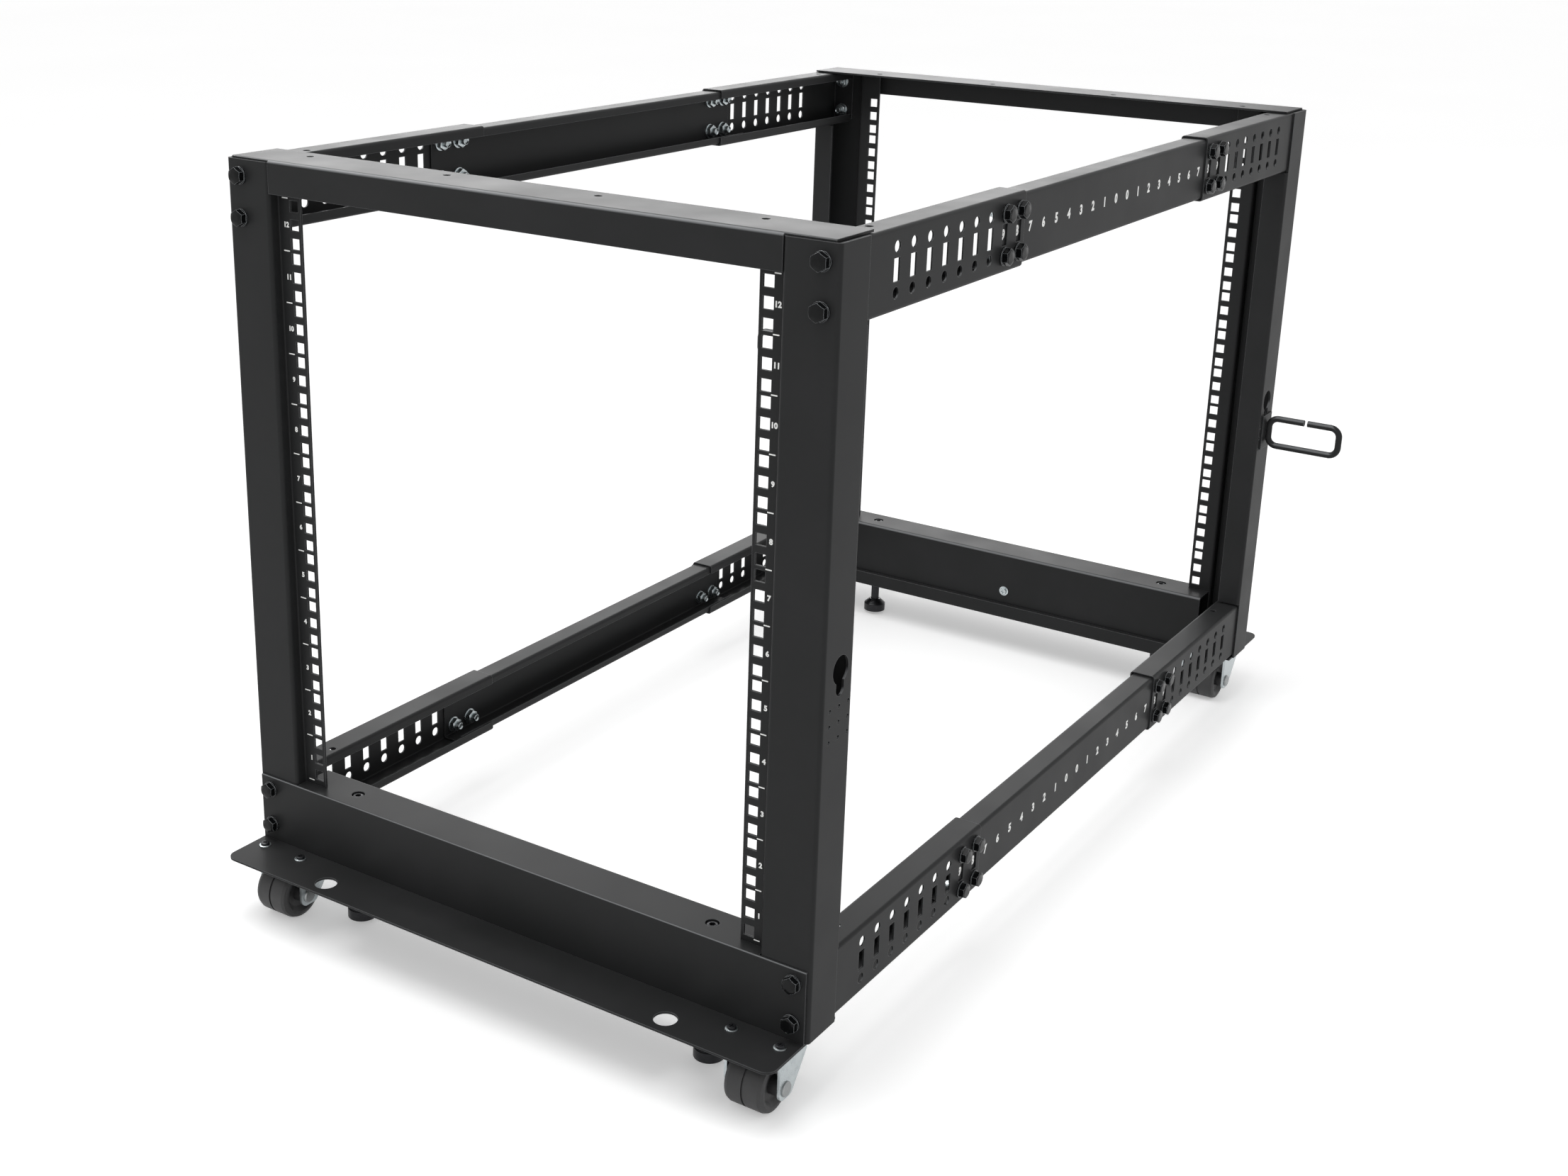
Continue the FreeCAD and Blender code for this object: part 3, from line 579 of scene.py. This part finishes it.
# Side rails: two punched brackets and a middle rail, roll formed from 1.5 mm sheet and powder coated.
# The middle rail slides inside the brackets, and a white scale on its web counts the depth both ways.
levels = ("upper", "lower")
rails = [f"{level}_{side}" for level in levels for side in sides]
coat([f"{rail}_{end}_bracket" for rail in rails for end in ends], powder_coat)
coat([f"{rail}_middle_rail" for rail in rails], powder_coat)
scale_pitch = 25.4 * mm
scale_tall = 8.8 * mm
scale_count = 10
for level in levels:
    for side_name, side in sides.items():
        low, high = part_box(f"{level}_{side_name}_middle_rail")
        web_x = (high.x if side > 0 else low.x) + side * ink_lift
        figures = []
        for end in ends.values():
            for count in range(scale_count):
                spot = Vector((web_x, end * (count + 0.5) * scale_pitch, (low.z + high.z) / 2))
                figures.append(printed(str(count), scale_tall, spot, side * math.pi / 2))
        scale_piece = weld_up(figures, f"{level}_{side_name}_depth_scale")
        scale_piece.data.materials.clear()
        scale_piece.data.materials.append(white_ink)
        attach(scale_piece, "frame")


# Rail bolts: black hexagon flange bolts from outside, with bright zinc flange nuts drawn up inside.
# Four hold each bracket to the middle rail and two hold its tab behind the post. The bolts are zinc
# plated and dyed black, glossier than the coat, and their corners are painted pale as a painted
# highlight.
black_zinc, place = new_finish("sealed_black_zinc_plate")
dye_size = 4 * mm
dye = add_node(
    black_zinc, "ShaderNodeTexNoise",
    {"Scale": 1 / dye_size, "Detail": 2.0},
    {"Vector": (place, "Object")},
)
dye_tone = add_node(
    black_zinc, "ShaderNodeMixRGB",
    {"Color1": linear("#08090a"), "Color2": linear("#101112")},
    {"Fac": (dye, "Fac")},
)
dye_roughness = add_node(
    black_zinc, "ShaderNodeMapRange",
    {"From Min": 0.3, "From Max": 0.7, "To Min": 0.14, "To Max": 0.24},
    {"Value": (dye, "Fac")},
)
corner_round = 0.6 * mm
bolt_edges = add_node(black_zinc, "ShaderNodeBevel", {"samples": 4, "Radius": corner_round}, {})
bolt_faces = add_node(black_zinc, "ShaderNodeNewGeometry", {}, {})
bolt_flatness = add_node(
    black_zinc, "ShaderNodeVectorMath",
    {"operation": "DOT_PRODUCT"},
    {0: (bolt_edges, "Normal"), 1: (bolt_faces, "Normal")},
)
# The hex corners and flange rims are painted pale: a painted highlight for the glints they catch.
painted_bolt_corner_glint = add_node(
    black_zinc, "ShaderNodeMapRange",
    {"From Min": 0.96, "From Max": 0.86, "To Min": 0.0, "To Max": 0.7},
    {"Value": (bolt_flatness, "Value")},
)
bolt_tone = add_node(
    black_zinc, "ShaderNodeMixRGB",
    {"Color2": linear("#b4b8bb")},
    {"Fac": (painted_bolt_corner_glint, "Result"), "Color1": (dye_tone, "Color")},
)
bolt_surface = add_node(
    black_zinc, "ShaderNodeBsdfPrincipled",
    {"IOR": 1.5, "Specular IOR Level": 0.15},
    {
        "Base Color": (bolt_tone, "Color"),
        "Roughness": (dye_roughness, "Result"),
        "Normal": (bolt_edges, "Normal"),
    },
)
add_node(black_zinc, "ShaderNodeOutputMaterial", {}, {"Surface": (bolt_surface, "BSDF")})


def hexagon_block(across_flats, low, high, flat_share):
    """A hexagon on the bench, in millimetres, with its free end turned to a thirty degree chamfer."""
    clear_bench()
    middle = (low + high) / 2
    corner_radius = across_flats / math.sqrt(3)
    bpy.ops.mesh.primitive_cylinder_add(
        vertices=6, radius=corner_radius, depth=high - low, location=(0, 0, middle)
    )
    block = bpy.context.object
    bpy.ops.object.transform_apply()
    flat_circle = across_flats / 2 * flat_share
    spread = flat_circle + (high - low) * math.tan(math.radians(60))
    clear_bench()
    bpy.ops.mesh.primitive_cone_add(
        vertices=48, radius1=spread, radius2=flat_circle, depth=high - low, location=(0, 0, middle)
    )
    cone = bpy.context.object
    bpy.ops.object.transform_apply()
    carve(block, cone, "INTERSECT")
    return block


flange_facets = 40
flange_height = 1.6
bolt_across = 12.6
bolt_top = 7.2
bolt_flat_share = 0.92
bolt_flange_radius = 7.6
bolt_flange_break = 0.25
bolt_head = hexagon_block(bolt_across, flange_height, bolt_top, bolt_flat_share)
bolt_flange = turned_disc(bolt_flange_radius, 0.0, flange_height, flange_facets, bolt_flange_break)
bolt = weld_up([bolt_flange, bolt_head], "bolt_model")

nut_height = 6.6
thread_radius = 4.0
thread_facets = 24
thread_break = 0.8
thread_start = nut_height - 1.0
thread_end = nut_height + 4.4
cup_rim = 0.9
cup_depth = 1.0
end_face = thread_end - 0.1
bolt_end = turned_disc(thread_radius, thread_start, thread_end, thread_facets, thread_break)
pick(bolt_end, "FACE", lambda spot: spot.z > end_face)
bpy.ops.mesh.inset(thickness=cup_rim)
bpy.ops.transform.translate(value=(0, 0, -cup_depth))
bpy.ops.object.mode_set(mode="OBJECT")
nut_across = 12.5
nut_start = 1.2
nut_flat_share = 0.94
nut_flange_radius = 8.1
nut_flange_break = 0.8
nut_body = hexagon_block(nut_across, nut_start, nut_height, nut_flat_share)
nut_flange = turned_disc(nut_flange_radius, 0.0, flange_height, flange_facets, nut_flange_break)
nut = weld_up([nut_flange, nut_body, bolt_end], "nut_model")

bolt_edge = 14.6 * mm
bolt_spread = 35.4 * mm
row_spread = 34.2 * mm
column_first = 215.9 * mm
rail_sheet = 1.5 * mm
for level in levels:
    bolt_places = []
    nut_places = []
    for side_name, side in sides.items():
        outward = Vector((side, 0, 0))
        rail_low, rail_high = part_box(f"{level}_{side_name}_middle_rail")
        inner_x = (rail_high.x if side > 0 else rail_low.x) - side * rail_sheet
        for end_name, end in ends.items():
            low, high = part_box(f"{level}_{side_name}_{end_name}_bracket")
            post_low, post_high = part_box(f"{end_name}_{side_name}_post")
            middle_z = (low.z + high.z) / 2
            web_x = high.x if side > 0 else low.x
            for row in (-row_spread / 2, row_spread / 2):
                for column in (0, 1):
                    bolt_y = end * (column_first + column * scale_pitch)
                    bolt_places.append((Vector((web_x, bolt_y, middle_z + row)), outward))
                    nut_places.append((Vector((inner_x, bolt_y, middle_z + row)), -outward))
            face = f"base_{end_name}_channel" if level == "lower" else f"{end_name}_{side_name}_post"
            face_low, face_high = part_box(face)
            face_y = face_low.y if end < 0 else face_high.y
            tab_y = (low.y if end < 0 else high.y) - end * rail_sheet
            bolt_x = (post_high.x if side > 0 else post_low.x) - side * bolt_edge
            for row in (-bolt_spread / 2, bolt_spread / 2):
                bolt_places.append((Vector((bolt_x, face_y, middle_z + row)), Vector((0, end, 0))))
                nut_places.append((Vector((bolt_x, tab_y, middle_z + row)), Vector((0, -end, 0))))
    set_out(bolt, f"{level}_rail_bolts", bolt_places, black_zinc, "frame")
    set_out(nut, f"{level}_rail_nuts", nut_places, zinc, "frame")


# Top crossbars: folded from the same 2 mm sheet and powder coated, their faces between the posts.
# The top plates run out over the post tops and have a row of four small holes.
coat([f"top_{end}_crossbar" for end in ends], powder_coat)


# Cable rings: 7 mm wire bent to a loop with a gap to pass a cable through, welded to a small plate.
# Both are coated black, and one zinc screw holds the plate to the outer side of the rear post.
coat([f"{side}_cable_ring" for side in sides], powder_coat)
ring_head_radius = 3.6
ring_head_height = 2.4
ring_screw = cross_head(ring_head_radius, ring_head_height, 0.0)
ring_screw_back = 9.5 * mm
plate_sheet = 2 * mm
ring_screw_places = []
for side_name, side in sides.items():
    low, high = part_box(f"{side_name}_cable_ring")
    middle = (low + high) / 2
    face_x = low.x + plate_sheet if side > 0 else high.x - plate_sheet
    spot = Vector((face_x, middle.y + ring_screw_back, middle.z))
    ring_screw_places.append((spot, Vector((side, 0, 0))))
set_out(ring_screw, "cable_ring_screws", ring_screw_places, zinc, "frame")

for model in (washer, screw_head, earth_screw, bolt, nut, ring_screw):
    bpy.data.objects.remove(model)


# Studio: a plain pale floor under an even white sky, with a soft box over the rack. Two more boxes, low
# behind it and high to its left, only show as gloss on the tops and the folds. Sky and floor are plain
# white to the lens and to glossy metal, and a little lower where they light the rack.
floor_finish, place = new_finish("plain_pale_floor")
floor_mottle_size = 800 * mm
floor_radius = 40.0
floor_mottle = add_node(
    floor_finish, "ShaderNodeTexNoise",
    {"Scale": 1 / floor_mottle_size, "Detail": 2.0},
    {"Vector": (place, "Object")},
)
floor_tone = add_node(
    floor_finish, "ShaderNodeMixRGB",
    {"Color1": linear("#f4f4f4"), "Color2": linear("#f8f8f8")},
    {"Fac": (floor_mottle, "Fac")},
)
floor_surface = add_node(
    floor_finish, "ShaderNodeBsdfPrincipled",
    {"Roughness": 0.9, "Specular IOR Level": 0.1},
    {"Base Color": (floor_tone, "Color")},
)
floor_rays = add_node(floor_finish, "ShaderNodeLightPath", {}, {})
floor_seen = add_node(
    floor_finish, "ShaderNodeMath",
    {"operation": "MAXIMUM"},
    {0: (floor_rays, "Is Camera Ray"), 1: (floor_rays, "Is Glossy Ray")},
)
floor_lift = add_node(
    floor_finish, "ShaderNodeMapRange",
    {"To Max": 0.31},
    {"Value": (floor_seen, "Value")},
)
floor_white = add_node(
    floor_finish, "ShaderNodeEmission",
    {"Color": linear("#ffffff")},
    {"Strength": (floor_lift, "Result")},
)
floor_sum = add_node(
    floor_finish, "ShaderNodeAddShader",
    {},
    {0: (floor_surface, "BSDF"), 1: (floor_white, "Emission")},
)
add_node(floor_finish, "ShaderNodeOutputMaterial", {}, {"Surface": (floor_sum, "Shader")})
clear_bench()
bpy.ops.mesh.primitive_circle_add(vertices=96, radius=floor_radius, fill_type="NGON")
floor = bpy.context.object
floor.name = "floor"
floor.data.materials.append(floor_finish)

sky = bpy.data.worlds.new("white_sky")
sky.use_nodes = True
sky.node_tree.nodes.clear()
sky_rays = add_node(sky, "ShaderNodeLightPath", {}, {})
sky_seen = add_node(
    sky, "ShaderNodeMath",
    {"operation": "MAXIMUM"},
    {0: (sky_rays, "Is Camera Ray"), 1: (sky_rays, "Is Glossy Ray")},
)
sky_level = add_node(
    sky, "ShaderNodeMapRange",
    {"To Min": 0.72, "To Max": 1.0},
    {"Value": (sky_seen, "Value")},
)
sky_light = add_node(
    sky, "ShaderNodeBackground",
    {"Color": linear("#ffffff")},
    {"Strength": (sky_level, "Result")},
)
add_node(sky, "ShaderNodeOutputWorld", {}, {"Surface": (sky_light, "Background")})
bpy.context.scene.world = sky

rack_middle = Vector((0, 0, 0.35))
soft_boxes = {
    "overhead_soft_box": {
        "location": (-0.2, -0.9, 3.1), "size": (1.8, 1.8), "energy": 38.0, "lights": True,
    },
    "rear_soft_box": {
        "location": (-2.6, 3.7, 1.75), "size": (3.4, 1.4), "energy": 58.0, "lights": False,
    },
    "left_soft_box": {
        "location": (-2.1, -0.5, 3.0), "size": (2.6, 1.4), "energy": 170.0, "lights": False,
    },
}
for name, box in soft_boxes.items():
    clear_bench()
    bpy.ops.object.light_add(type="AREA", location=box["location"])
    soft_box = bpy.context.object
    soft_box.name = name
    soft_box.data.shape = "RECTANGLE"
    soft_box.data.size, soft_box.data.size_y = box["size"]
    soft_box.data.energy = box["energy"]
    soft_box.visible_camera = False
    soft_box.visible_diffuse = box["lights"]
    aim = rack_middle - soft_box.location
    soft_box.rotation_euler = aim.to_track_quat("-Z", "Y").to_euler()

bpy.context.scene.view_settings.view_transform = "Standard"


# Camera: set where the photograph was taken from, a little above the rack and to its right.
# The frame is off centre, so the lens is shifted as the picture's centre is.
picture_width = 2212
picture_height = 1659
focal_pixels = 2766.84
centre_across = 1012.55
centre_down = 711.02
azimuth = math.radians(33.118)
elevation = math.radians(18.298)
roll = math.radians(1.337)
lens_place = (950.8 * mm, -1652.7 * mm, 942.3 * mm)
clear_bench()
bpy.ops.object.camera_add(location=lens_place)
camera = bpy.context.object
aim = Matrix.Rotation(azimuth, 4, "Z") @ Matrix.Rotation(math.pi / 2 - elevation, 4, "X")
camera.rotation_euler = (aim @ Matrix.Rotation(roll, 4, "Z")).to_euler()
camera.data.sensor_width = 36.0
camera.data.lens = camera.data.sensor_width * focal_pixels / picture_width
camera.data.shift_x = (picture_width / 2 - centre_across) / picture_width
camera.data.shift_y = (centre_down - picture_height / 2) / picture_width
bpy.context.scene.camera = camera
